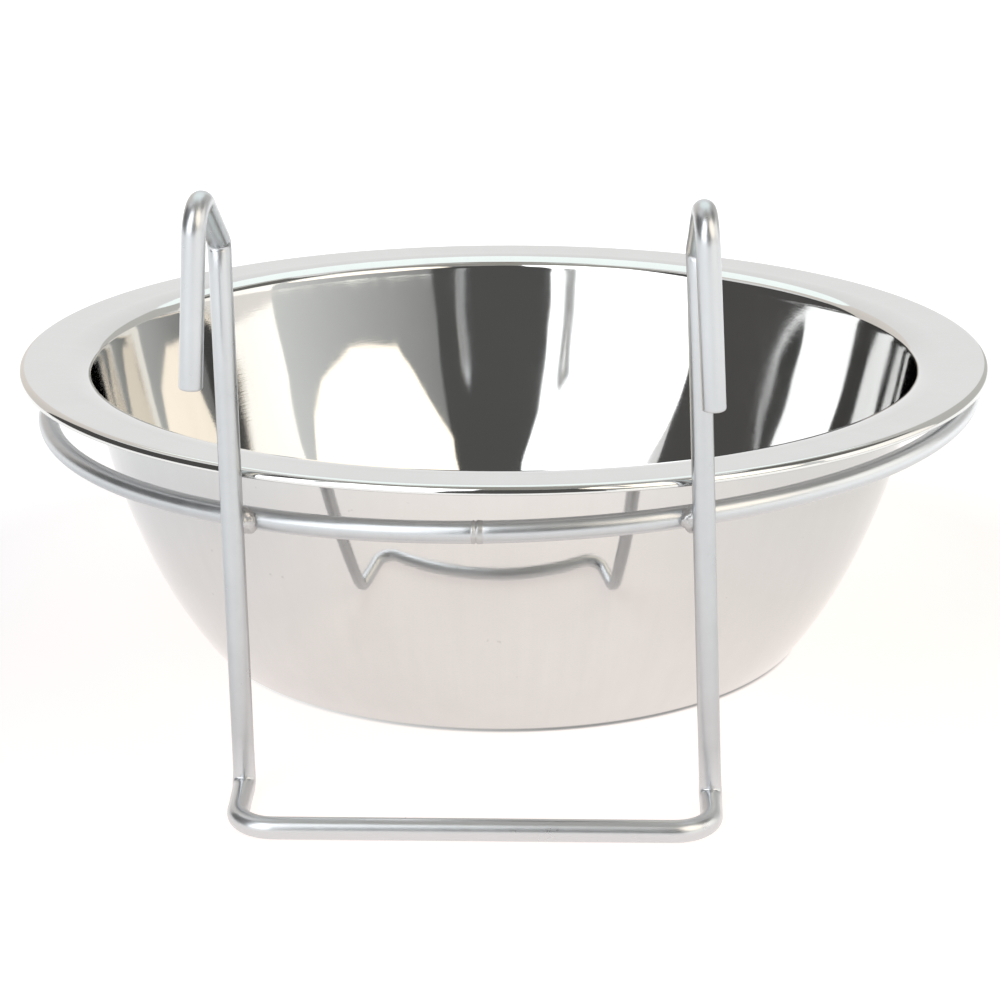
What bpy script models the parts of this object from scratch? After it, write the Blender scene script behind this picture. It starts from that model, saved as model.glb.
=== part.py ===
"""Hook-on steel feeding bowl: a wide-rimmed bowl standing inside a bent-wire hanger.

Metres, +Z up. The bowl stands on the XY plane with its axis on Z. The hanger's
hooks and foot face -Y.
"""

import math

import bmesh
import bpy
from mathutils import Matrix, Vector

# Bowl
RIM_RADIUS = 0.1000
RIM_TOP_Z = 0.0611
FLANGE_RISE = 0.0003
SHEET = 0.0008
HEM_WIDTH = 0.0040
BASE_RADIUS = 0.0628
BASE_TURN_RADIUS = 0.0035
BASE_PULL = (0.00776, 0.00918)
WALL_TOP = (0.08609, 0.0582)
WALL_TOP_LEAN = 10.0
WALL_TOP_PULL = 0.0308
SHOULDER_END_RADIUS = 0.0916
ELLIPSE_PULL = 0.5523
LIP_RADIUS = 0.0014
LIP_TURN_RADIUS = 0.0002
BOWL_STEPS = 72

# Wire of the hanger and of its ring
WIRE_RADIUS = 0.0020
WIRE_BEVEL = 3
BEND_RADIUS = 0.0046
SHARP_BEND_RADIUS = 0.0030
CORNER_RADIUS = 0.0070

# Ring: centre, radius and the tilt of its plane
RING_CENTRE = (0.00103, -0.00433, 0.05397)
RING_RADIUS = 0.09466
RING_SLOPE_X = 0.0304
RING_SLOPE_Y = 0.0121
RING_STEPS = 84
SEAM_X = -0.0046
SEAM_LENGTH = 0.0016

# Hanger wire, left and right: foot corner, foot of upright, top of upright,
# crest of the hook and cut tip
LEFT_CORNER = (-0.0472, -0.1097, 0.0020)
LEFT_FOOT = (-0.0472, -0.0913, 0.0020)
LEFT_TOP = (-0.0483, -0.0899, 0.1020)
LEFT_CREST = (-0.0496, -0.1099, 0.1157)
LEFT_TIP = (-0.0516, -0.1099, 0.0813)
RIGHT_CORNER = (0.0361, -0.1119, 0.0020)
RIGHT_FOOT = (0.0369, -0.0968, 0.0020)
RIGHT_TOP = (0.0325, -0.0981, 0.1020)
RIGHT_CREST = (0.0320, -0.1181, 0.1156)
RIGHT_TIP = (0.0341, -0.1181, 0.0797)

# Weld beads
WELD_SIZE = (0.0031, 0.0026, 0.0027)
WELD_CLEAR = 0.00012
SEAM_BULGE = 0.00018
SEAM_GAP = 0.00025


def clear_scene():
    for thing in list(bpy.data.objects):
        bpy.data.objects.remove(thing, do_unlink=True)
    for group in list(bpy.data.collections):
        bpy.data.collections.remove(group)


def make_collection(name):
    group = bpy.data.collections.new(name)
    bpy.context.scene.collection.children.link(group)
    return group


def make_material(name, colour, metallic, roughness):
    material = bpy.data.materials.new(name)
    material.use_nodes = True
    shader = material.node_tree.nodes["Principled BSDF"]
    shader.inputs["Base Color"].default_value = (*colour, 1.0)
    shader.inputs["Metallic"].default_value = metallic
    shader.inputs["Roughness"].default_value = roughness
    return material


def smooth(mesh):
    for face in mesh.polygons:
        face.use_smooth = True


def bezier(a, b, c, d, count):
    points = []
    for i in range(count + 1):
        t = i / count
        s = 1.0 - t
        x = s**3 * a[0] + 3 * s * s * t * b[0] + 3 * s * t * t * c[0] + t**3 * d[0]
        z = s**3 * a[1] + 3 * s * s * t * b[1] + 3 * s * t * t * c[1] + t**3 * d[1]
        points.append((x, z))
    return points


def offset_inward(points, distance):
    """The line moved to its left by a distance, as it runs up the outside of the wall."""
    moved = []
    for i, (x, z) in enumerate(points):
        before = points[max(i - 1, 0)]
        after = points[min(i + 1, len(points) - 1)]
        along = Vector((after[0] - before[0], after[1] - before[1])).normalized()
        moved.append((x - along.y * distance, z + along.x * distance))
    return moved


def arc(centre, radius, start, end, count):
    points = []
    for i in range(count + 1):
        angle = math.radians(start + (end - start) * i / count)
        points.append((centre[0] + radius * math.cos(angle), centre[1] + radius * math.sin(angle)))
    return points


def outer_wall():
    """The outside of the sheet, from the flat base up the wall and over the shoulder to the flange."""
    lean = math.radians(WALL_TOP_LEAN)
    up = (math.sin(lean), math.cos(lean))
    last_handle = (WALL_TOP[0] - WALL_TOP_PULL * up[0], WALL_TOP[1] - WALL_TOP_PULL * up[1])
    first_handle = (BASE_RADIUS + BASE_PULL[0], BASE_PULL[1])
    wall = bezier((BASE_RADIUS, 0.0), first_handle, last_handle, WALL_TOP, 14)

    # A small turn between the flat base and the wall
    steep = math.degrees(math.atan2(BASE_PULL[1], BASE_PULL[0]))
    back = BASE_TURN_RADIUS * math.tan(math.radians(0.5 * steep))
    turn = arc((BASE_RADIUS - back, BASE_TURN_RADIUS), BASE_TURN_RADIUS, -90, steep - 90, 4)

    # The shoulder is a quarter of a wide ellipse from the leaning wall out to the flange
    flange_z = RIM_TOP_Z - FLANGE_RISE - SHEET
    rise = (flange_z - WALL_TOP[1]) / up[1]
    width = SHOULDER_END_RADIUS - WALL_TOP[0]
    above = (WALL_TOP[0] + ELLIPSE_PULL * rise * up[0], WALL_TOP[1] + ELLIPSE_PULL * rise * up[1])
    beside = (SHOULDER_END_RADIUS - ELLIPSE_PULL * width, flange_z)
    shoulder = bezier(WALL_TOP, above, beside, (SHOULDER_END_RADIUS, flange_z), 6)
    return turn + wall[1:] + shoulder[1:]


def bowl_profile():
    """Inside from the axis up to the rim, round the lip, then down the outside to the axis."""
    outside = outer_wall()
    inside = offset_inward(outside, SHEET)
    inside[0] = (outside[0][0], SHEET)
    inside[-1] = (outside[-1][0], outside[-1][1] + SHEET)

    # The lip is rounded over and ends in a hem folded under the flange
    lip_centre = (RIM_RADIUS - LIP_RADIUS, RIM_TOP_Z - LIP_RADIUS)
    lip = arc(lip_centre, LIP_RADIUS, 84, 0, 5)
    turn_centre = (RIM_RADIUS - LIP_TURN_RADIUS, lip_centre[1])
    lip += arc(turn_centre, LIP_TURN_RADIUS, 0, -90, 2)[1:]
    hem_start = RIM_RADIUS - HEM_WIDTH

    profile = [(0.0, SHEET)]
    profile += inside
    profile += lip
    profile += [(hem_start, RIM_TOP_Z - 2 * SHEET - 0.0001)]
    profile += [(hem_start - 0.0002, RIM_TOP_Z - SHEET - 0.0001)]
    profile += list(reversed(outside))
    profile += [(0.0, 0.0)]
    return profile


def make_bowl(group):
    points = bowl_profile()
    mesh = bpy.data.meshes.new("bowl")
    edges = [(i, i + 1) for i in range(len(points) - 1)]
    mesh.from_pydata([(x, 0.0, z) for x, z in points], edges, [])
    bowl = bpy.data.objects.new("bowl", mesh)
    group.objects.link(bowl)
    screw = bowl.modifiers.new("turn", "SCREW")
    screw.axis = "Z"
    screw.steps = BOWL_STEPS
    screw.render_steps = BOWL_STEPS
    screw.use_merge_vertices = True
    screw.merge_threshold = 0.00001
    screw.use_smooth_shade = True
    bowl.data.materials.append(make_material("bowl_steel", (0.82, 0.81, 0.79), 1.0, 0.06))
    return bowl


def fillet(before, corner, after, radius, count):
    """Points of an arc that rounds one corner of a path."""
    into = (before - corner).normalized()
    out = (after - corner).normalized()
    half = 0.5 * into.angle(out)
    reach = radius / math.tan(half)
    centre = corner + (into + out).normalized() * (radius / math.sin(half))
    first = corner + into * reach - centre
    last = corner + out * reach - centre
    sweep = first.angle(last)
    points = []
    for i in range(count + 1):
        t = i / count
        a = math.sin((1.0 - t) * sweep) / math.sin(sweep)
        b = math.sin(t * sweep) / math.sin(sweep)
        points.append(centre + first * a + last * b)
    return points


def rounded_path(corners, radii, count):
    points = [corners[0]]
    for i in range(1, len(corners) - 1):
        points += fillet(corners[i - 1], corners[i], corners[i + 1], radii[i - 1], count)
    points.append(corners[-1])
    return points


def hanger_corners():
    names = (LEFT_TIP, LEFT_CREST, LEFT_TOP, LEFT_FOOT, LEFT_CORNER)
    names += (RIGHT_CORNER, RIGHT_FOOT, RIGHT_TOP, RIGHT_CREST, RIGHT_TIP)
    return [Vector(point) for point in names]


def hanger_path():
    side = [BEND_RADIUS, SHARP_BEND_RADIUS, SHARP_BEND_RADIUS, CORNER_RADIUS]
    radii = side + list(reversed(side))
    return rounded_path(hanger_corners(), radii, 6)


def ring_point(angle):
    x = RING_RADIUS * math.cos(angle)
    y = RING_RADIUS * math.sin(angle)
    z = RING_SLOPE_X * x + RING_SLOPE_Y * y
    return Vector(RING_CENTRE) + Vector((x, y, z))


def seam_angle():
    return math.asin((SEAM_X - RING_CENTRE[0]) / RING_RADIUS) - math.pi / 2


def ring_path():
    """The ring from one side of its seam right round to the other."""
    half_gap = (0.5 * SEAM_LENGTH + SEAM_GAP) / RING_RADIUS
    start = seam_angle() + half_gap
    sweep = 2 * math.pi - 2 * half_gap
    return [ring_point(start + sweep * i / RING_STEPS) for i in range(RING_STEPS + 1)]


def make_wire(name, points, radius, group):
    """A round wire along a path, as a closed mesh."""
    curve = bpy.data.curves.new(name + "_path", "CURVE")
    curve.dimensions = "3D"
    curve.bevel_depth = radius
    curve.bevel_resolution = WIRE_BEVEL
    curve.use_fill_caps = True
    spline = curve.splines.new("POLY")
    spline.points.add(len(points) - 1)
    for point, place in zip(spline.points, points):
        point.co = (*place, 1.0)
    helper = bpy.data.objects.new(name + "_path", curve)
    group.objects.link(helper)
    graph = bpy.context.evaluated_depsgraph_get()
    evaluated = helper.evaluated_get(graph)
    mesh = bpy.data.meshes.new_from_object(evaluated)
    mesh.name = name
    wire = bpy.data.objects.new(name, mesh)
    wire.matrix_world = helper.matrix_world.copy()
    group.objects.link(wire)
    bpy.data.objects.remove(helper, do_unlink=True)
    weld_caps(mesh)
    smooth(mesh)
    return wire


def weld_caps(mesh):
    """Joins the end caps to the tube, so that the wire is one closed body."""
    work = bmesh.new()
    work.from_mesh(mesh)
    bmesh.ops.remove_doubles(work, verts=work.verts, dist=0.000001)
    bmesh.ops.recalc_face_normals(work, faces=work.faces)
    work.to_mesh(mesh)
    work.free()


def nearest_on_ring(point):
    best = None
    for i in range(3600):
        place = ring_point(2 * math.pi * i / 3600)
        distance = (place - point).length
        if best is None or distance < best[0]:
            best = (distance, place)
    return best[1]


def crossing(foot, top):
    """The closest points of an upright and of the ring."""
    foot = Vector(foot)
    top = Vector(top)
    t = 0.5
    for _ in range(8):
        on_ring = nearest_on_ring(foot.lerp(top, t))
        line = top - foot
        t = (on_ring - foot).dot(line) / line.length_squared
    return foot.lerp(top, t), on_ring


def make_crossing_weld(name, foot, top, group, cutters):
    """A bead in the crook where the ring passes behind an upright."""
    on_wire, on_ring = crossing(foot, top)
    middle = 0.5 * (on_wire + on_ring)
    outward = (on_wire - on_ring).normalized()
    up = Vector((0.0, 0.0, 1.0))
    side = up.cross(outward).normalized()
    up = outward.cross(side).normalized()
    work = bmesh.new()
    bmesh.ops.create_uvsphere(work, u_segments=20, v_segments=12, radius=1.0)
    turn = Matrix((side, outward, up)).transposed().to_4x4()
    size = Matrix.Diagonal((*WELD_SIZE, 1.0))
    bmesh.ops.transform(work, matrix=Matrix.Translation(middle) @ turn @ size, verts=work.verts)
    mesh = bpy.data.meshes.new(name)
    work.to_mesh(mesh)
    work.free()
    smooth(mesh)
    bead = bpy.data.objects.new(name, mesh)
    group.objects.link(bead)
    for i, cutter in enumerate(cutters):
        cut = bead.modifiers.new("clear_%d" % i, "BOOLEAN")
        cut.operation = "DIFFERENCE"
        cut.solver = "EXACT"
        cut.object = cutter
    bead.data.materials.append(make_material(name + "_steel", (0.62, 0.62, 0.62), 0.9, 0.42))
    return bead


def make_seam_weld(group):
    """The short swollen bead that closes the ring."""
    middle = seam_angle()
    half = 0.5 * SEAM_LENGTH / RING_RADIUS
    work = bmesh.new()
    rows = []
    for i in range(7):
        t = -1.0 + 2.0 * i / 6
        centre = ring_point(middle + t * half)
        along = (ring_point(middle + t * half + 0.001) - ring_point(middle + t * half - 0.001))
        along.normalize()
        out = Vector((centre.x - RING_CENTRE[0], centre.y - RING_CENTRE[1], 0.0)).normalized()
        up = out.cross(along).normalized()
        radius = WIRE_RADIUS + SEAM_BULGE * math.sqrt(max(0.0, 1.0 - t * t))
        row = []
        for j in range(16):
            turn = 2 * math.pi * j / 16
            row.append(work.verts.new(centre + (out * math.cos(turn) + up * math.sin(turn)) * radius))
        rows.append(row)
    for first, second in zip(rows, rows[1:]):
        for j in range(16):
            k = (j + 1) % 16
            work.faces.new((first[j], first[k], second[k], second[j]))
    work.faces.new(list(reversed(rows[0])))
    work.faces.new(rows[-1])
    bmesh.ops.recalc_face_normals(work, faces=work.faces)
    mesh = bpy.data.meshes.new("ring_seam_weld")
    work.to_mesh(mesh)
    work.free()
    smooth(mesh)
    bead = bpy.data.objects.new("ring_seam_weld", mesh)
    group.objects.link(bead)
    bead.data.materials.append(make_material("seam_weld_steel", (0.6, 0.6, 0.6), 0.9, 0.4))
    return bead


def main():
    clear_scene()
    parts = make_collection("hook_on_feeding_bowl")
    helpers = make_collection("cutters")

    make_bowl(parts)
    hanger = make_wire("hanger_wire", hanger_path(), WIRE_RADIUS, parts)
    hanger.data.materials.append(make_material("hanger_steel", (0.66, 0.66, 0.67), 0.9, 0.34))
    ring = make_wire("support_ring", ring_path(), WIRE_RADIUS, parts)
    ring.data.materials.append(make_material("ring_steel", (0.65, 0.65, 0.66), 0.9, 0.34))

    cutters = [
        make_wire("hanger_clearance", hanger_path(), WIRE_RADIUS + WELD_CLEAR, helpers),
        make_wire("ring_clearance", ring_path(), WIRE_RADIUS + WELD_CLEAR, helpers),
    ]
    for cutter in cutters:
        cutter.hide_render = True
        cutter.display_type = "WIRE"
    make_crossing_weld("weld_left", LEFT_FOOT, LEFT_TOP, parts, cutters)
    make_crossing_weld("weld_right", RIGHT_FOOT, RIGHT_TOP, parts, cutters)
    make_seam_weld(parts)


main()
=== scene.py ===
"""Looks for the hook-on feeding bowl: fine meshes, procedural steel, studio and camera.

Metres, +Z up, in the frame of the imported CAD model: the bowl stands on the XY plane
with its axis on Z, and the hanger's hooks and foot face -Y.
"""

import math

import bmesh
import bpy
from mathutils import Matrix, Vector, noise


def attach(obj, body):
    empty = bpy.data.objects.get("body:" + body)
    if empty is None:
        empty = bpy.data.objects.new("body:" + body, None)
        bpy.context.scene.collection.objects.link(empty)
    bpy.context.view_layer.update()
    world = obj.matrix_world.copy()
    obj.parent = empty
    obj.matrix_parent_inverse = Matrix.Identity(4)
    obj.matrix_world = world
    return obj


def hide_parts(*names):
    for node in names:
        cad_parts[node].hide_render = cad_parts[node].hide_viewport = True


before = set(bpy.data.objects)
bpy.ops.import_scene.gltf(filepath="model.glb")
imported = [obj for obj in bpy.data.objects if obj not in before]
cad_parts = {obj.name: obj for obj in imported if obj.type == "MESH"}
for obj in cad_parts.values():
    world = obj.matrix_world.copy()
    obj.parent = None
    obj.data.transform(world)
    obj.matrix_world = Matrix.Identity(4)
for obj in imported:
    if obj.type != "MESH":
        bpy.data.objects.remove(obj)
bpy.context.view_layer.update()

# ---------------------------------------------------------------- dimensions
# Bowl
RIM_RADIUS = 0.1000
RIM_TOP_Z = 0.0611
FLANGE_RISE = 0.0003
SHEET = 0.0008
HEM_WIDTH = 0.0040
BASE_RADIUS = 0.0628
BASE_TURN_RADIUS = 0.0035
BASE_TURN_GAP = 0.0002
BASE_PULL = (0.00776, 0.00918)
WALL_TOP = (0.08609, 0.0582)
WALL_TOP_LEAN = 10.0
WALL_TOP_PULL = 0.0308
SHOULDER_END_RADIUS = 0.0916
ELLIPSE_PULL = 0.5523
LIP_RADIUS = 0.0014
LIP_TURN_RADIUS = 0.0002
HEM_GAP = 0.00005
# The hem's cut edge: how far each point lies inside the hem's start, and below the flange
HEM_FOLD = ((0.00012, 0.6 * SHEET), (0.00010, 0.0002), (0.0002, 0.0001))

# Steps round the bowl, and along each part of its section
BOWL_STEPS = 256
INSIDE_FLOOR_STEPS = 12
BASE_TURN_STEPS = 12
WALL_STEPS = 90
SHOULDER_STEPS = 28
FLANGE_STEPS = 8
LIP_STEPS = 24
LIP_TURN_STEPS = 6
HEM_STEPS = 4
UNDER_FLANGE_STEPS = 5
UNDER_BASE_STEPS = 8

# Wire
WIRE_RADIUS = 0.0020
BEND_RADIUS = 0.0046
SHARP_BEND_RADIUS = 0.0030
CORNER_RADIUS = 0.0070
WIRE_SIDES = 28
WIRE_STEP = 0.0040
BEND_STEPS = 14
END_STEPS = 5
END_MIDDLE_SHARE = 0.55
HANGER_END_ROUND = 0.0005
RING_END_ROUND = 0.0004

# Pinched bends: shares of the wire's radius, and distances from the bend's middle
PINCH_REACH = 0.0060
CREASE_DEPTH = 0.16
CREASE_WIDTH = 0.0009
SWELL_HEIGHT = 0.08
SWELL_PLACE = 0.0022
SPREAD = 0.05
SPREAD_WIDTH = 0.0022

# Ring
RING_CENTRE = (0.00103, -0.00433, 0.05397)
RING_RADIUS = 0.09466
RING_SLOPE_X = 0.0304
RING_SLOPE_Y = 0.0121
RING_STEPS = 300
RING_SEARCH_STEPS = 3600
SEAM_X = -0.0046
SEAM_LENGTH = 0.0016
SEAM_TUCK = 0.0002
SEAM_OVERLAP = 0.00035
SEAM_SUNK = 0.00010
SEAM_SWELL = 0.00022
SEAM_LUMP = 0.00006
SEAM_GROOVE = 0.00020
SEAM_GROOVE_PLACE = -0.25
SEAM_GROOVE_WIDTH = 0.16
SEAM_STEPS = 18
SEAM_SIDES = 36
SMALL_ANGLE = 0.001

# Weld beads: half sizes along the side, outward and up, and the height of their lumps
BEAD_SIZE = (0.00285, 0.0023, 0.0024)
BEAD_LUMP = 0.16
BEAD_FINE_LUMP = 0.05
CROSSING_ROUNDS = 8

# Hanger wire
LEFT_CORNER = (-0.0472, -0.1097, 0.0020)
LEFT_FOOT = (-0.0472, -0.0913, 0.0020)
LEFT_TOP = (-0.0483, -0.0899, 0.1020)
LEFT_CREST = (-0.0496, -0.1099, 0.11556)
LEFT_TIP = (-0.0516, -0.1099, 0.0813)
RIGHT_CORNER = (0.0361, -0.1119, 0.0020)
RIGHT_FOOT = (0.0369, -0.0968, 0.0020)
RIGHT_TOP = (0.0325, -0.0981, 0.1020)
RIGHT_CREST = (0.0320, -0.11804, 0.11546)
RIGHT_TIP = (0.0341, -0.11804, 0.0797)

# Camera
CAMERA_PLACE = (0.0, -0.50792, 0.18971)
CAMERA_PITCH = 0.31047
CAMERA_YAW = -0.00167
CAMERA_ROLL = -0.00329
CAMERA_LENS = 90.0
CAMERA_SENSOR = 36.0
CAMERA_CLIP = (0.01, 60.0)

# Studio
STUDIO_CENTRE = Vector((0.0, 0.0, 0.05))
PANEL_STEP_DEGREES = 2.5
PANEL_RINGS = 10
FLOOR_RADIUS = 12.0
FLOOR_DROP = 0.00005


# ------------------------------------------------------------- shader nodes
class Shader:
    """A small wrapper that makes and joins shader nodes."""

    def __init__(self, name):
        self.material = bpy.data.materials.new(name)
        self.material.use_nodes = True
        self.tree = self.material.node_tree
        self.bsdf = self.tree.nodes["Principled BSDF"]

    def node(self, kind, **settings):
        made = self.tree.nodes.new(kind)
        for key, value in settings.items():
            setattr(made, key, value)
        return made

    def put(self, socket, value):
        if isinstance(value, bpy.types.NodeSocket):
            self.tree.links.new(value, socket)
        else:
            socket.default_value = value

    def math(self, operation, *values):
        made = self.node("ShaderNodeMath", operation=operation)
        for i, value in enumerate(values):
            self.put(made.inputs[i], value)
        return made.outputs[0]

    def vector(self, x, y, z):
        made = self.node("ShaderNodeCombineXYZ")
        self.put(made.inputs[0], x)
        self.put(made.inputs[1], y)
        self.put(made.inputs[2], z)
        return made.outputs[0]

    def scaled(self, parts, factors):
        """A vector of three parts, each times its factor."""
        return self.vector(*(self.math("MULTIPLY", part, factor) for part, factor in zip(parts, factors)))

    def from_axis(self, x, y):
        """The distance from the Z axis."""
        return self.math("SQRT", self.math("ADD", self.math("MULTIPLY", x, x), self.math("MULTIPLY", y, y)))

    def noise(self, place, scale, detail=3.0, roughness=0.5):
        made = self.node("ShaderNodeTexNoise")
        self.put(made.inputs["Vector"], place)
        made.inputs["Scale"].default_value = scale
        made.inputs["Detail"].default_value = detail
        made.inputs["Roughness"].default_value = roughness
        return made.outputs["Fac"]

    def ramp(self, value, low, high, out_low, out_high):
        made = self.node("ShaderNodeMapRange")
        made.clamp = True
        self.put(made.inputs["Value"], value)
        made.inputs["From Min"].default_value = low
        made.inputs["From Max"].default_value = high
        made.inputs["To Min"].default_value = out_low
        made.inputs["To Max"].default_value = out_high
        return made.outputs[0]

    def mix(self, share, first, second):
        made = self.node("ShaderNodeMix", data_type="RGBA")
        self.put(made.inputs["Factor"], share)
        for name, colour in (("A", first), ("B", second)):
            is_socket = isinstance(colour, bpy.types.NodeSocket)
            self.put(made.inputs[name], colour if is_socket else (*colour, 1.0))
        return made.outputs["Result"]

    def bump(self, height, strength, distance, normal=None):
        made = self.node("ShaderNodeBump")
        made.inputs["Strength"].default_value = strength
        made.inputs["Distance"].default_value = distance
        self.put(made.inputs["Height"], height)
        if normal is not None:
            self.put(made.inputs["Normal"], normal)
        return made.outputs[0]

    def place(self):
        return self.node("ShaderNodeTexCoord").outputs["Object"]

    def split(self, place):
        made = self.node("ShaderNodeSeparateXYZ")
        self.put(made.inputs[0], place)
        return made.outputs


def polished_steel(name):
    """Mirror-polished sheet with faint turning lines, streaks, smudges and specks."""
    s = Shader(name)
    place = s.place()
    x, y, z = s.split(place)
    radius = s.from_axis(x, y)
    angle = s.math("ARCTAN2", y, x)
    round_x = s.math("COSINE", angle)
    round_y = s.math("SINE", angle)

    # Fine lines round the axis, left by polishing
    lines = s.noise(s.scaled((x, y, s.math("ADD", radius, z)), (0.12, 0.12, 1.0)), 2600.0, 4.0, 0.6)
    # Soft streaks that run up the wall and fade out on the base
    streaks = s.noise(s.scaled((round_x, round_y, z), (1.0, 1.0, 1.5)), 26.0, 3.0, 0.55)
    streaks = s.math("MULTIPLY", streaks, s.ramp(radius, 0.050, 0.066, 0.0, 1.0))
    # Cloudy smudges
    smudge = s.noise(place, 38.0, 4.0, 0.6)
    specks = s.noise(place, 520.0, 2.0, 0.5)

    clean, hazy, streaked, speck = (
        (0.640, 0.640, 0.632), (0.672, 0.672, 0.664), (0.630, 0.630, 0.622), (0.42, 0.41, 0.39),
    )
    tone = s.mix(s.ramp(smudge, 0.3, 0.72, 0.0, 1.0), clean, hazy)
    tone = s.mix(s.ramp(streaks, 0.35, 0.7, 0.0, 0.35), tone, streaked)
    tone = s.mix(s.ramp(specks, 0.75, 0.80, 0.0, 0.25), tone, speck)
    s.put(s.bsdf.inputs["Base Color"], tone)
    rough = s.math("ADD", s.ramp(smudge, 0.35, 0.8, 0.020, 0.055), s.ramp(streaks, 0.4, 0.75, 0.0, 0.030))
    s.put(s.bsdf.inputs["Roughness"], s.math("ADD", rough, s.ramp(lines, 0.3, 0.8, 0.0, 0.02)))
    s.bsdf.inputs["Metallic"].default_value = 1.0
    # Slow waves in the sheet, under the fine lines
    waves = s.noise(s.scaled((x, y, z), (12.0, 12.0, 6.0)), 3.2, 2.0, 0.45)
    wavy = s.bump(waves, 0.5, 0.0004)
    s.put(s.bsdf.inputs["Normal"], s.bump(lines, 0.04, 0.00005, wavy))
    return s.material


def satin_steel(name, tone_low, tone_high, rough_low, rough_high, grain, painted_light=None):
    """Drawn wire with a satin silver finish: lengthwise grain, soft mottling and a few dull spots.

    The last argument names the places painted lighter, standing in for light that falls there: "ends" is
    the hooks and the foot, and "right" is the +X side.
    """
    s = Shader(name)
    place = s.place()
    mottle = s.noise(place, 210.0, 4.0, 0.6)
    broad = s.noise(place, 34.0, 3.0, 0.5)
    spots = s.noise(place, 700.0, 2.0, 0.5)
    x, y, z = s.split(place)
    drawn = s.noise(s.scaled((x, y, z), (1.0, 1.0, 0.04)), 2300.0, 2.0, 0.5)
    tone = s.mix(s.ramp(mottle, 0.3, 0.7, 0.0, 1.0), tone_low, tone_high)
    tone = s.mix(s.ramp(broad, 0.35, 0.7, 0.0, 0.30), tone, tone_low)
    tone = s.mix(s.ramp(spots, 0.66, 0.80, 0.0, 0.14), tone, tuple(0.7 * v for v in tone_low))
    # Painted light: a lighter copy of the tone on the hooks and the foot ("ends") and on the +X side
    # ("right")
    painted_light_tone = tuple(1.32 * v for v in tone_low)
    if painted_light == "ends":
        tone = s.mix(s.ramp(z, 0.004, 0.012, 0.70, 0.0), tone, painted_light_tone)
        tone = s.mix(s.ramp(z, 0.076, 0.092, 0.0, 0.30), tone, painted_light_tone)
    if painted_light == "right":
        tone = s.mix(s.ramp(x, 0.02, 0.08, 0.0, 1.0), tone, painted_light_tone)
    s.put(s.bsdf.inputs["Base Color"], tone)
    rough = s.ramp(mottle, 0.3, 0.75, rough_low, rough_high)
    s.put(s.bsdf.inputs["Roughness"], s.math("ADD", rough, s.ramp(spots, 0.5, 0.8, 0.0, 0.04)))
    s.bsdf.inputs["Metallic"].default_value = 0.92
    height = s.math("ADD", s.math("MULTIPLY", mottle, 0.5), s.math("MULTIPLY", drawn, 0.3))
    s.put(s.bsdf.inputs["Normal"], s.bump(height, grain, 0.00004))
    return s.material


# ----------------------------------------------------------------- profiles
def bezier(a, b, c, d, count):
    """Points of a cubic curve, both ends among them."""
    points = []
    for i in range(count + 1):
        t = i / count
        k = 1.0 - t
        x = k**3 * a[0] + 3 * k * k * t * b[0] + 3 * k * t * t * c[0] + t**3 * d[0]
        z = k**3 * a[1] + 3 * k * k * t * b[1] + 3 * k * t * t * c[1] + t**3 * d[1]
        points.append((x, z))
    return points


def arc(centre, radius, start, end, count):
    """Points of a circle's arc, from one angle to another in degrees."""
    points = []
    for i in range(count + 1):
        angle = math.radians(start + (end - start) * i / count)
        points.append((centre[0] + radius * math.cos(angle), centre[1] + radius * math.sin(angle)))
    return points


def offset_inward(points, distance):
    """The same line, moved to its left by a distance."""
    moved = []
    for i, (x, z) in enumerate(points):
        before = points[max(i - 1, 0)]
        after = points[min(i + 1, len(points) - 1)]
        along = Vector((after[0] - before[0], after[1] - before[1])).normalized()
        moved.append((x - along.y * distance, z + along.x * distance))
    return moved


def outer_wall():
    """The outside of the sheet, from the flat base up the wall and over the shoulder to the flange."""
    lean = math.radians(WALL_TOP_LEAN)
    up = (math.sin(lean), math.cos(lean))
    last_handle = (WALL_TOP[0] - WALL_TOP_PULL * up[0], WALL_TOP[1] - WALL_TOP_PULL * up[1])
    first_handle = (BASE_RADIUS + BASE_PULL[0], BASE_PULL[1])
    wall = bezier((BASE_RADIUS, 0.0), first_handle, last_handle, WALL_TOP, WALL_STEPS)
    steep = math.degrees(math.atan2(BASE_PULL[1], BASE_PULL[0]))
    back = BASE_TURN_RADIUS * math.tan(math.radians(0.5 * steep))
    turn = arc((BASE_RADIUS - back, BASE_TURN_RADIUS), BASE_TURN_RADIUS, -90, steep - 90, BASE_TURN_STEPS)
    past = [p for p in wall if math.hypot(p[0] - BASE_RADIUS, p[1]) > back + BASE_TURN_GAP]

    flange_z = RIM_TOP_Z - FLANGE_RISE - SHEET
    rise = (flange_z - WALL_TOP[1]) / up[1]
    width = SHOULDER_END_RADIUS - WALL_TOP[0]
    above = (WALL_TOP[0] + ELLIPSE_PULL * rise * up[0], WALL_TOP[1] + ELLIPSE_PULL * rise * up[1])
    beside = (SHOULDER_END_RADIUS - ELLIPSE_PULL * width, flange_z)
    shoulder = bezier(WALL_TOP, above, beside, (SHOULDER_END_RADIUS, flange_z), SHOULDER_STEPS)
    return turn + past + shoulder[1:]


def straight(first, last, count):
    """Points from first to last, without the first."""
    return [
        (first[0] + (last[0] - first[0]) * i / count, first[1] + (last[1] - first[1]) * i / count)
        for i in range(1, count + 1)
    ]


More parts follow.
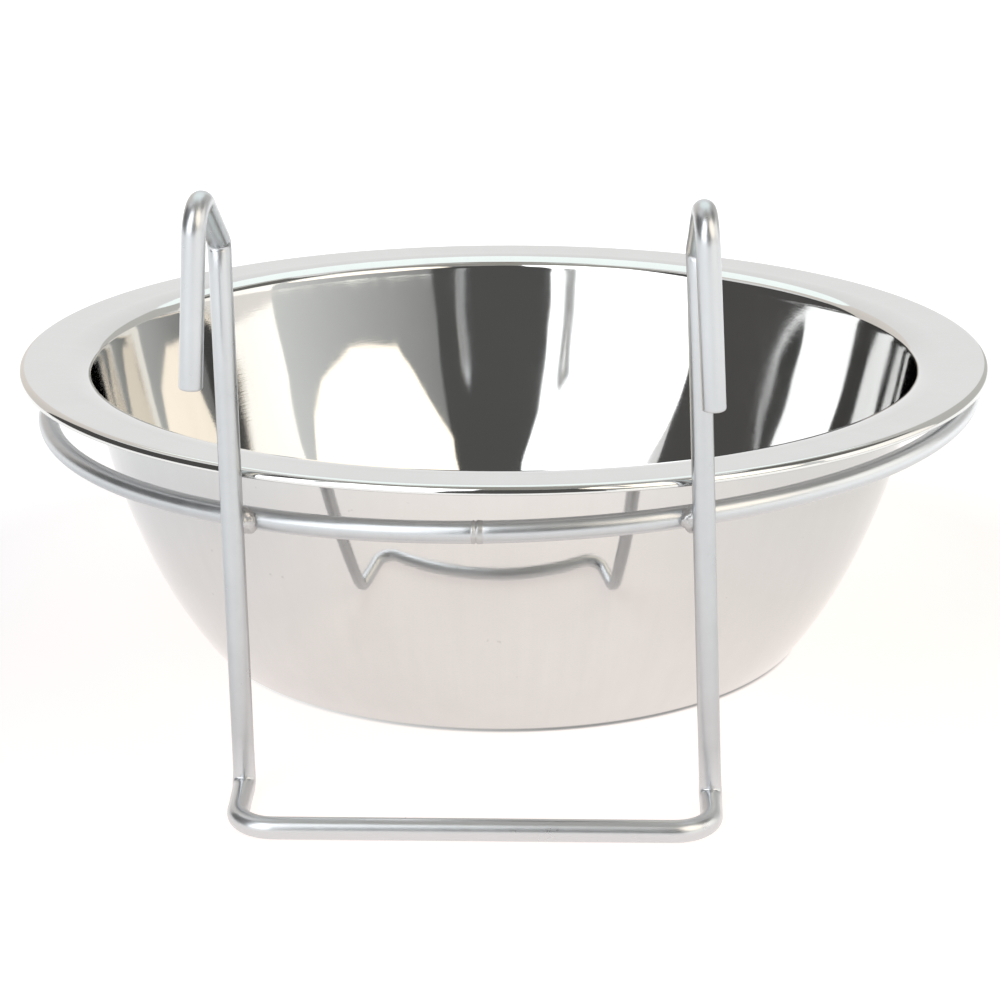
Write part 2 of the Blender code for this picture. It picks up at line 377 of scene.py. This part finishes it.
def bowl_profile():
    """The whole section of the sheet: inside floor, wall, flange, lip, folded hem, and back outside."""
    outside = outer_wall()
    inside = offset_inward(outside, SHEET)
    inside[0] = (outside[0][0], SHEET)
    inside[-1] = (outside[-1][0], outside[-1][1] + SHEET)
    lip_centre = (RIM_RADIUS - LIP_RADIUS, RIM_TOP_Z - LIP_RADIUS)
    lip = arc(lip_centre, LIP_RADIUS, 88, 0, LIP_STEPS)
    turn_centre = (RIM_RADIUS - LIP_TURN_RADIUS, lip_centre[1])
    lip += arc(turn_centre, LIP_TURN_RADIUS, 0, -90, LIP_TURN_STEPS)[1:]
    hem_start = RIM_RADIUS - HEM_WIDTH
    under = RIM_TOP_Z - SHEET
    fold = [(hem_start - across, under - down) for across, down in HEM_FOLD]
    profile = [(0.0, SHEET)]
    profile += straight((0.0, SHEET), inside[0], INSIDE_FLOOR_STEPS)
    profile += inside[1:]
    profile += straight(inside[-1], lip[0], FLANGE_STEPS)
    profile += lip[1:]
    profile += straight(lip[-1], (hem_start, RIM_TOP_Z - 2 * SHEET - HEM_GAP), HEM_STEPS)
    profile += fold[:-1]
    profile += straight(fold[-1], outside[-1], UNDER_FLANGE_STEPS)
    profile += list(reversed(outside[:-1]))
    profile += straight(outside[0], (0.0, 0.0), UNDER_BASE_STEPS)
    return profile


def finish_mesh(name, work):
    bmesh.ops.recalc_face_normals(work, faces=work.faces)
    mesh = bpy.data.meshes.new(name)
    work.to_mesh(mesh)
    work.free()
    for face in mesh.polygons:
        face.use_smooth = True
    made = bpy.data.objects.new(name, mesh)
    bpy.context.scene.collection.objects.link(made)
    return made


def turned(name, profile, steps):
    """A closed body turned round the Z axis from a profile whose ends lie on it."""
    work = bmesh.new()
    rows = []
    for radius, z in profile[1:-1]:
        row = []
        for j in range(steps):
            angle = 2 * math.pi * j / steps
            row.append(work.verts.new((radius * math.cos(angle), radius * math.sin(angle), z)))
        rows.append(row)
    first = work.verts.new((0.0, 0.0, profile[0][1]))
    last = work.verts.new((0.0, 0.0, profile[-1][1]))
    for j in range(steps):
        k = (j + 1) % steps
        work.faces.new((first, rows[0][j], rows[0][k]))
        work.faces.new((last, rows[-1][k], rows[-1][j]))
        for low, high in zip(rows, rows[1:]):
            work.faces.new((low[j], high[j], high[k], low[k]))
    return finish_mesh(name, work)


# -------------------------------------------------------------------- wires
def fillet(before, corner, after, radius, count):
    """Points of the arc that rounds a corner."""
    into = (before - corner).normalized()
    out = (after - corner).normalized()
    half = 0.5 * into.angle(out)
    reach = radius / math.tan(half)
    centre = corner + (into + out).normalized() * (radius / math.sin(half))
    first = corner + into * reach - centre
    last = corner + out * reach - centre
    turn = first.angle(last)
    points = []
    for i in range(count + 1):
        t = i / count
        a = math.sin((1.0 - t) * turn) / math.sin(turn)
        b = math.sin(t * turn) / math.sin(turn)
        points.append(centre + first * a + last * b)
    return points


def add_straight(route, end, with_end=False):
    """Adds points on the straight run from the route's last point to end."""
    last = route[-1]
    pieces = max(1, int((end - last).length / WIRE_STEP))
    stop = pieces + 1 if with_end else pieces
    route += [last.lerp(end, j / pieces) for j in range(1, stop)]


def hanger_route():
    """Points of the hanger's centre line, and each sharp bend's middle and inward direction."""
    corners = [
        Vector(p)
        for p in (
            LEFT_TIP, LEFT_CREST, LEFT_TOP, LEFT_FOOT, LEFT_CORNER,
            RIGHT_CORNER, RIGHT_FOOT, RIGHT_TOP, RIGHT_CREST, RIGHT_TIP,
        )
    ]
    side = [BEND_RADIUS, SHARP_BEND_RADIUS, SHARP_BEND_RADIUS, CORNER_RADIUS]
    radii = side + list(reversed(side))
    route = [corners[0]]
    pinches = []
    for i in range(1, len(corners) - 1):
        before, corner, after = corners[i - 1 : i + 2]
        bend = fillet(before, corner, after, radii[i - 1], BEND_STEPS)
        add_straight(route, bend[0])
        route += bend
        if radii[i - 1] == SHARP_BEND_RADIUS:
            inward = ((before - corner).normalized() + (after - corner).normalized()).normalized()
            pinches.append((bend[len(bend) // 2], inward))
    add_straight(route, corners[-1], with_end=True)
    return route, pinches


def sweep(name, route, radius, sides, shape=None, end_round=0.0):
    """A tube along a route, with plain or slightly rounded ends.

    shape(point, direction) gives the factor on the radius there.
    """
    count = len(route)
    tangents = []
    for i in range(count):
        before = route[max(i - 1, 0)]
        after = route[min(i + 1, count - 1)]
        tangents.append((after - before).normalized())
    normal = tangents[0].orthogonal().normalized()
    work = bmesh.new()
    rows = []
    rings = []
    for i in range(count):
        normal = (normal - tangents[i] * normal.dot(tangents[i])).normalized()
        rings.append((route[i], tangents[i], normal, 1.0))
    if end_round > 0.0:
        for sign in (-1, 1):
            centre, tangent, across, _ = rings[0] if sign < 0 else rings[-1]
            base = centre - tangent * (sign * end_round)
            cap = [(base, tangent, across, 1.0)]
            for j in range(1, END_STEPS + 1):
                turn = 0.5 * math.pi * j / END_STEPS
                share = 1.0 - (end_round / radius) * (1.0 - math.cos(turn))
                cap.append((base + tangent * (sign * end_round * math.sin(turn)), tangent, across, share))
            rings = list(reversed(cap)) + rings[1:] if sign < 0 else rings[:-1] + cap
    for centre, tangent, across, share in rings:
        side = tangent.cross(across)
        row = []
        for j in range(sides):
            turn = 2 * math.pi * j / sides
            direction = across * math.cos(turn) + side * math.sin(turn)
            size = radius * share
            if shape is not None:
                size *= shape(centre, direction)
            row.append(work.verts.new(centre + direction * size))
        rows.append(row)
    for low, high in zip(rows, rows[1:]):
        for j in range(sides):
            k = (j + 1) % sides
            work.faces.new((low[j], low[k], high[k], high[j]))
    for row, centre in ((rows[0], rings[0][0]), (rows[-1], rings[-1][0])):
        inner = [work.verts.new(centre + (v.co - centre) * END_MIDDLE_SHARE) for v in row]
        middle = work.verts.new(centre)
        for j in range(sides):
            k = (j + 1) % sides
            work.faces.new((row[j], row[k], inner[k], inner[j]))
            work.faces.new((inner[j], inner[k], middle))
    return finish_mesh(name, work)


def ring_point(angle):
    x = RING_RADIUS * math.cos(angle)
    y = RING_RADIUS * math.sin(angle)
    z = RING_SLOPE_X * x + RING_SLOPE_Y * y
    return Vector(RING_CENTRE) + Vector((x, y, z))


def seam_angle():
    return math.asin((SEAM_X - RING_CENTRE[0]) / RING_RADIUS) - math.pi / 2


def ring_route():
    half_gap = (0.5 * SEAM_LENGTH - SEAM_TUCK) / RING_RADIUS
    start = seam_angle() + half_gap
    turn = 2 * math.pi - 2 * half_gap
    return [ring_point(start + turn * i / RING_STEPS) for i in range(RING_STEPS + 1)]


def nearest_on_ring(point):
    on_ring = (ring_point(2 * math.pi * i / RING_SEARCH_STEPS) for i in range(RING_SEARCH_STEPS))
    return min(on_ring, key=lambda p: (p - point).length)


def crossing(foot, top):
    """The nearest points of an upright's centre line and of the ring's."""
    foot = Vector(foot)
    top = Vector(top)
    t = 0.5
    for _ in range(CROSSING_ROUNDS):
        on_ring = nearest_on_ring(foot.lerp(top, t))
        line = top - foot
        t = (on_ring - foot).dot(line) / line.length_squared
    return foot.lerp(top, t), on_ring


def weld_bead(name, foot, top, seed, shift):
    """A lumpy bead of weld metal in the crook of the two wires."""
    on_wire, on_ring = crossing(foot, top)
    middle = 0.5 * (on_wire + on_ring)
    outward = (on_wire - on_ring).normalized()
    up = Vector((0.0, 0.0, 1.0))
    side = up.cross(outward).normalized()
    up = outward.cross(side).normalized()
    turn = Matrix((side, outward, up)).transposed()
    work = bmesh.new()
    bmesh.ops.create_icosphere(work, subdivisions=5, radius=1.0)
    for vertex in work.verts:
        direction = vertex.co.normalized()
        lump = noise.noise(direction * 1.7 + Vector((seed, 0.0, 0.0)))
        fine = noise.noise(direction * 5.5 + Vector((0.0, seed, 0.0)))
        size = 1.0 + BEAD_LUMP * lump + BEAD_FINE_LUMP * fine
        local = Vector((d * half for d, half in zip(direction, BEAD_SIZE))) * size
        vertex.co = middle + turn @ local + Vector(shift)
    return finish_mesh(name, work)


def seam_bead():
    """The short swollen bead that closes the ring, a little uneven."""
    middle = seam_angle()
    half = (0.5 * SEAM_LENGTH + SEAM_OVERLAP) / RING_RADIUS
    work = bmesh.new()
    rows = []
    for i in range(SEAM_STEPS + 1):
        t = -1.0 + 2.0 * i / SEAM_STEPS
        angle = middle + t * half
        centre = ring_point(angle)
        along = (ring_point(angle + SMALL_ANGLE) - ring_point(angle - SMALL_ANGLE)).normalized()
        out = Vector((centre.x - RING_CENTRE[0], centre.y - RING_CENTRE[1], 0.0)).normalized()
        up = out.cross(along).normalized()
        swell = math.sqrt(max(0.0, 1.0 - t * t))
        row = []
        for j in range(SEAM_SIDES):
            turn = 2 * math.pi * j / SEAM_SIDES
            direction = out * math.cos(turn) + up * math.sin(turn)
            lump = SEAM_LUMP * noise.noise(direction * 2.3 + Vector((t * 1.5, 0.0, 3.0)))
            groove = -SEAM_GROOVE * math.exp(-(((t - SEAM_GROOVE_PLACE) / SEAM_GROOVE_WIDTH) ** 2))
            size = WIRE_RADIUS - SEAM_SUNK + SEAM_SWELL * swell + lump * swell + groove
            row.append(work.verts.new(centre + direction * size))
        rows.append(row)
    for low, high in zip(rows, rows[1:]):
        for j in range(SEAM_SIDES):
            k = (j + 1) % SEAM_SIDES
            work.faces.new((low[j], low[k], high[k], high[j]))
    work.faces.new(list(reversed(rows[0])))
    work.faces.new(rows[-1])
    return finish_mesh("seam_bead", work)


def pinch_shape(pinches):
    """Sharp bends are pinched on their inner side and swollen beside the crease."""

    def shape(point, direction):
        size = 1.0
        for middle, inward in pinches:
            distance = (point - middle).length
            if distance > PINCH_REACH:
                continue
            facing = direction.dot(inward)
            inner = max(0.0, facing) ** 2
            outer = max(0.0, -facing) ** 2
            size -= CREASE_DEPTH * inner * math.exp(-((distance / CREASE_WIDTH) ** 2))
            size += SWELL_HEIGHT * inner * math.exp(-(((distance - SWELL_PLACE) / CREASE_WIDTH) ** 2))
            size += SPREAD * (1.0 - facing * facing) * math.exp(-((distance / SPREAD_WIDTH) ** 2))
            size -= SPREAD * outer * math.exp(-((distance / SPREAD_WIDTH) ** 2))
        return size

    return shape


# ------------------------------------------------------------------- pieces
def stands_for(piece, material, body, node):
    """Gives a piece its material and body, and puts it in the place of a CAD node."""
    piece.data.materials.append(material)
    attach(piece, body)
    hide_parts(node)


bowl = turned("bowl_shell", bowl_profile(), BOWL_STEPS)
stands_for(bowl, polished_steel("bowl_polished_steel"), "bowl", "bowl")

wire_steel = satin_steel(
    "wire_satin_steel", (0.485, 0.500, 0.515), (0.515, 0.530, 0.545), 0.27, 0.32, 0.10, "ends"
)
ring_steel = satin_steel(
    "ring_satin_steel", (0.490, 0.506, 0.522), (0.525, 0.541, 0.557), 0.28, 0.33, 0.10, "right"
)
weld_steel = satin_steel("weld_metal_steel", (0.36, 0.36, 0.365), (0.56, 0.56, 0.56), 0.30, 0.44, 0.5)

route, pinches = hanger_route()
hanger = sweep("hanger_wire_bent", route, WIRE_RADIUS, WIRE_SIDES, pinch_shape(pinches), HANGER_END_ROUND)
stands_for(hanger, wire_steel, "hanger", "hanger_wire")

ring = sweep("ring_wire_bent", ring_route(), WIRE_RADIUS, WIRE_SIDES, None, RING_END_ROUND)
stands_for(ring, ring_steel, "hanger", "support_ring")

beads = (
    (weld_bead("weld_bead_left", LEFT_FOOT, LEFT_TOP, 3.1, (0.0006, 0.0, 0.0)), "weld_left"),
    (weld_bead("weld_bead_right", RIGHT_FOOT, RIGHT_TOP, 7.7, (-0.0006, 0.0, 0.0)), "weld_right"),
    (seam_bead(), "ring_seam_weld"),
)
for bead, node in beads:
    stands_for(bead, weld_steel, "hanger", node)


# ------------------------------------------------------------------- studio
def toward(azimuth, elevation):
    """A unit vector. Azimuth 0 points to -Y, and 90 to +X, in degrees."""
    a = math.radians(azimuth)
    e = math.radians(elevation)
    return Vector((math.sin(a) * math.cos(e), -math.cos(a) * math.cos(e), math.sin(e)))


def card(name, colour, tones, radius, outline):
    """A curved studio panel with its corners at (azimuth, elevation) round the object.

    Its brightness goes from the first to the second of its tones along its width. The camera
    doesn't see it.
    """
    left_tone, right_tone = tones
    edge = []
    for (a0, e0), (a1, e1) in zip(outline, outline[1:] + outline[:1]):
        pieces = max(1, int(math.hypot(a1 - a0, e1 - e0) / PANEL_STEP_DEGREES))
        edge += [(a0 + (a1 - a0) * i / pieces, e0 + (e1 - e0) * i / pieces) for i in range(pieces)]
    middle_a = sum(a for a, e in outline) / len(outline)
    middle_e = sum(e for a, e in outline) / len(outline)
    low = min(a for a, e in outline)
    high = max(a for a, e in outline)
    verts = [(middle_a, middle_e)]
    for i in range(1, PANEL_RINGS + 1):
        verts += [
            (middle_a + (a - middle_a) * i / PANEL_RINGS, middle_e + (e - middle_e) * i / PANEL_RINGS)
            for a, e in edge
        ]
    count = len(edge)
    faces = [(0, 1 + j, 1 + (j + 1) % count) for j in range(count)]
    for i in range(PANEL_RINGS - 1):
        base = 1 + i * count
        for j in range(count):
            k = (j + 1) % count
            faces.append((base + j, base + count + j, base + count + k, base + k))
    mesh = bpy.data.meshes.new(name)
    mesh.from_pydata([STUDIO_CENTRE + toward(a, e) * radius for a, e in verts], [], faces)
    tone = mesh.attributes.new("tone", "FLOAT", "POINT")
    for i, (a, e) in enumerate(verts):
        tone.data[i].value = left_tone + (right_tone - left_tone) * (a - low) / (high - low)
    made = bpy.data.objects.new(name, mesh)
    bpy.context.scene.collection.objects.link(made)
    material = bpy.data.materials.new(name)
    material.use_nodes = True
    tree = material.node_tree
    tree.nodes.clear()
    glow = tree.nodes.new("ShaderNodeEmission")
    glow.inputs["Color"].default_value = (*colour, 1.0)
    level = tree.nodes.new("ShaderNodeAttribute")
    level.attribute_name = "tone"
    tree.links.new(level.outputs["Fac"], glow.inputs["Strength"])
    output = tree.nodes.new("ShaderNodeOutputMaterial")
    tree.links.new(glow.outputs[0], output.inputs["Surface"])
    mesh.materials.append(material)
    made.visible_camera = False
    made.visible_shadow = False


# Name, colour, brightness from left to right, distance, outline
PANELS = (
    ("softbox_left", (0.97, 0.985, 1.0), (2.6, 2.6), 2.0, [
        (-63, 5), (-38, 5), (-14, 5), (-15, 12), (-14, 18), (-13, 28), (-8, 40), (-8, 60), (-34, 64),
        (-56, 60), (-57, 30), (-60, 24), (-62.5, 16),
    ]),
    ("softbox_right", (1.0, 0.90, 0.77), (2.2, 2.2), 2.0, [
        (19, 46), (20.4, 37), (20.3, 33), (26, 26), (32, 19), (35, 16), (51, 14), (57, 15), (63, 16),
        (68, 19.5), (73, 26), (74, 42), (66, 55), (45, 61), (27, 57),
    ]),
    ("dark_behind_camera", (0.96, 0.97, 0.94), (0.115, 0.115), 2.1, [
        (-15.5, 2), (4, 2), (21.8, 2), (21.8, 20), (20.6, 40), (19, 52), (-8, 52), (-8, 40), (-13, 28),
    ]),
    ("grey_wall_right", (0.975, 0.99, 0.97), (0.33, 0.92), 2.2, [
        (21, 8.3), (24, 8.0), (32, 7.6), (48, 6.9), (63, 5.4), (75, 4.8), (75, 14), (79, 26), (77, 60),
        (45, 66), (18, 62), (20.6, 40), (21.8, 20),
    ]),
    ("low_wall_right", (1.0, 0.985, 0.92), (1.7, 1.7), 2.25, [
        (24, -1), (72, -1), (72, 5.2), (63, 5.6), (48, 7.1), (32, 7.8), (24, 8.2),
    ]),
    ("low_cream_right", (1.0, 0.96, 0.91), (1.08, 1.08), 2.25, [(72, -1), (112, -1), (112, 6), (72, 6)]),
    ("cream_right", (1.0, 0.965, 0.90), (1.75, 1.4), 1.9, [
        (75, 5.5), (96, 4.5), (112, 4.5), (112, 29), (90, 32), (78, 34), (77, 22), (74, 13),
    ]),
    ("dark_right_high", (1.0, 0.97, 0.90), (0.20, 0.20), 2.1, [
        (80, 37), (90, 34), (112, 31), (124, 31), (124, 60), (80, 60),
    ]),
    ("dark_left", (0.97, 0.95, 0.93), (0.10, 0.10), 2.1, [
        (-125, 2), (-61, 2), (-61, 30), (-57, 60), (-80, 60), (-98, 46), (-125, 30),
    ]),
    ("grey_above", (1.0, 0.97, 0.88), (0.42, 0.42), 2.3, [
        (-100, 62), (-50, 60), (0, 52), (50, 60), (100, 62), (110, 76), (90, 89.5), (0, 89.5),
        (-90, 89.5), (-110, 76),
    ]),
    ("bright_behind", (0.92, 1.0, 0.985), (1.45, 1.45), 2.2, [
        (146, 39), (163, 36), (180, 34), (197, 36), (214, 39), (222, 74), (180, 78), (138, 74),
    ]),
    ("brown_above", (1.0, 0.93, 0.80), (0.34, 0.34), 2.3, [
        (138, 74), (180, 78), (222, 74), (235, 89.5), (180, 89.5), (125, 89.5),
    ]),
    ("brown_left", (1.0, 0.94, 0.88), (0.94, 0.84), 2.3, [
        (197, 2), (236, 2), (236, 60), (219, 60), (214, 39), (197, 36),
    ]),
    ("grey_right", (1.0, 0.99, 0.94), (0.66, 0.66), 2.3, [
        (112, 2), (160, 2), (160, 36), (146, 39), (142, 60), (124, 60), (112, 31),
    ]),
)
for panel in PANELS:
    card(*panel)

# Everything else is a pale, even room
world = bpy.data.worlds.new("studio_room")
bpy.context.scene.world = world
world.use_nodes = True
background = world.node_tree.nodes["Background"]
background.inputs["Color"].default_value = (1.0, 1.0, 1.0, 1.0)
background.inputs["Strength"].default_value = 1.0

floor_mesh = bpy.data.meshes.new("floor")
work = bmesh.new()
bmesh.ops.create_circle(work, cap_ends=True, segments=96, radius=FLOOR_RADIUS)
work.to_mesh(floor_mesh)
work.free()
floor = bpy.data.objects.new("floor", floor_mesh)
bpy.context.scene.collection.objects.link(floor)
floor.location = (0.0, 0.0, -FLOOR_DROP)

# The floor is white and glows; near the object its glow is dimmer and tinted, and a dark disc of painted
# contact shadow under the bowl shows as a thin dark line round its base
paper = Shader("floor_paper")
paper_place = paper.place()
tint = paper.noise(paper_place, 3.0, 3.0, 0.5)
paper_tone = paper.mix(paper.ramp(tint, 0.3, 0.7, 0.0, 1.0), (0.33, 0.33, 0.33), (0.35, 0.35, 0.35))
paper.put(paper.bsdf.inputs["Base Color"], paper_tone)
paper.bsdf.inputs["Roughness"].default_value = 0.9
paper.bsdf.inputs["Specular IOR Level"].default_value = 0.1
across, along, _ = paper.split(paper_place)
left_part = paper.ramp(across, -0.17, -0.05, 1.0, 0.0)
right_part = paper.ramp(across, 0.05, 0.17, 0.0, 1.0)
floor_glow = paper.mix(left_part, (0.86, 0.79, 0.76), (0.55, 0.57, 0.61))
floor_glow = paper.mix(right_part, floor_glow, (0.60, 0.595, 0.59))
far = paper.from_axis(across, along)
floor_glow = paper.mix(paper.ramp(far, 0.13, 0.25, 0.0, 1.0), floor_glow, (1.0, 1.0, 1.0))
# Painted contact shadow: a dark disc under the bowl, lighter towards -X and darkest from the middle to +X
shadow_darkening = paper.ramp(across, -0.060, 0.010, 0.0, 1.0)
painted_contact_shadow = paper.mix(shadow_darkening, (0.80, 0.80, 0.80), (0.22, 0.22, 0.22))
floor_glow = paper.mix(paper.ramp(far, 0.0624, 0.0634, 0.0, 1.0), painted_contact_shadow, floor_glow)
paper.put(paper.bsdf.inputs["Emission Color"], floor_glow)
paper.bsdf.inputs["Emission Strength"].default_value = 1.0
floor_mesh.materials.append(paper.material)

# ------------------------------------------------------------------- camera
lens = bpy.data.cameras.new("camera")
lens.lens = CAMERA_LENS
lens.sensor_width = CAMERA_SENSOR
lens.clip_start, lens.clip_end = CAMERA_CLIP
camera = bpy.data.objects.new("camera", lens)
bpy.context.scene.collection.objects.link(camera)
ahead = Vector((
    math.sin(CAMERA_YAW) * math.cos(CAMERA_PITCH),
    math.cos(CAMERA_YAW) * math.cos(CAMERA_PITCH),
    -math.sin(CAMERA_PITCH),
))
level = Vector((math.cos(CAMERA_YAW), -math.sin(CAMERA_YAW), 0.0))
over = level.cross(ahead)
right = level * math.cos(CAMERA_ROLL) + over * math.sin(CAMERA_ROLL)
upward = over * math.cos(CAMERA_ROLL) - level * math.sin(CAMERA_ROLL)
turned_to = Matrix((right, upward, -ahead)).transposed().to_4x4()
camera.matrix_world = Matrix.Translation(CAMERA_PLACE) @ turned_to
bpy.context.scene.camera = camera

view = bpy.context.scene.view_settings
view.view_transform = "Standard"
view.look = "None"
